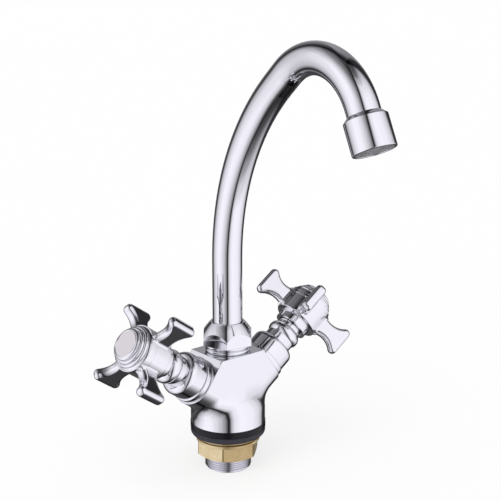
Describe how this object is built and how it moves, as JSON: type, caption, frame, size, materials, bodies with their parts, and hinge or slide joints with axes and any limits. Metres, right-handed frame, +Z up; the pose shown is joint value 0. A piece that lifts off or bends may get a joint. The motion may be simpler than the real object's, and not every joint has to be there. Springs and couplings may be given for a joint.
{
  "type": "kitchen faucet",
  "caption": "Deck-mounted kitchen mixer: raked cross-handle valves on a cast Y-shaped body and a swivelling swan-neck spout with an aerator.",
  "frame": {"origin": "on the shank axis in the worktop plane, which is the underside of the base gasket", "axes": "+Z up along the shank axis; the spout reaches towards -Y (turned 4 degrees towards -X, as pictured); the cold valve leans out towards -X and the hot valve towards +X"},
  "size_m": [0.1852, 0.1817, 0.2964],
  "materials": {
    "chrome": "mirror-polished chromium plate on brass",
    "plated_thread": "plated cut thread",
    "raw_brass": "sand-cast brass, as forged",
    "machined_brass": "turned brass",
    "black_rubber": "matt moulded rubber",
    "alumina": "lapped alumina ceramic",
    "stainless": "plain stainless steel",
    "acetal": "moulded acetal",
    "grey_acetal": "moulded grey acetal"
  },
  "bodies": {
    "mixer": {"mixer_body": "chrome", "threaded_shank": "plated_thread", "base_gasket": "black_rubber", "clamp_washer": "raw_brass", "back_nut": "raw_brass", "spout_spigot": "chrome", "union_nut": "chrome", "lower_glide_ring": "acetal", "upper_glide_ring": "acetal", "cold_seat_seal": "black_rubber", "cold_headwork": "machined_brass", "cold_headwork_oring": "black_rubber", "cold_fixed_disc": "alumina", "cold_bonnet": "chrome", "hot_seat_seal": "black_rubber", "hot_headwork": "machined_brass", "hot_headwork_oring": "black_rubber", "hot_fixed_disc": "alumina", "hot_bonnet": "chrome"},
    "spout": {"spout_tube": "chrome", "spout_tail": "machined_brass", "lower_tail_oring": "black_rubber", "upper_tail_oring": "black_rubber", "outlet_nipple": "chrome", "aerator_housing": "chrome", "aerator_insert": "grey_acetal", "aerator_seal": "black_rubber"},
    "cold_handle_set": {"cold_spindle": "machined_brass", "cold_spindle_oring": "black_rubber", "cold_spindle_clip": "stainless", "cold_moving_disc": "alumina", "cold_handle": "chrome", "cold_index_cap": "chrome", "cold_handle_screw": "stainless"},
    "hot_handle_set": {"hot_spindle": "machined_brass", "hot_spindle_oring": "black_rubber", "hot_spindle_clip": "stainless", "hot_moving_disc": "alumina", "hot_handle": "chrome", "hot_index_cap": "chrome", "hot_handle_screw": "stainless"}
  },
  "joints": [
    {"name": "spout_swivel", "type": "hinge", "parent": "mixer", "child": "spout", "pos_m": [0, 0, 0], "axis": [0, 0, 1], "continuous": true},
    {"name": "cold_handle_turn", "type": "hinge", "parent": "mixer", "child": "cold_handle_set", "pos_m": [0, 0, 0.0239], "axis": [-0.8192, 0, 0.5736], "range_deg": [0, 90]},
    {"name": "hot_handle_turn", "type": "hinge", "parent": "mixer", "child": "hot_handle_set", "pos_m": [0, 0, 0.0239], "axis": [0.8192, 0, 0.5736], "range_deg": [0, 90]}
  ]
}
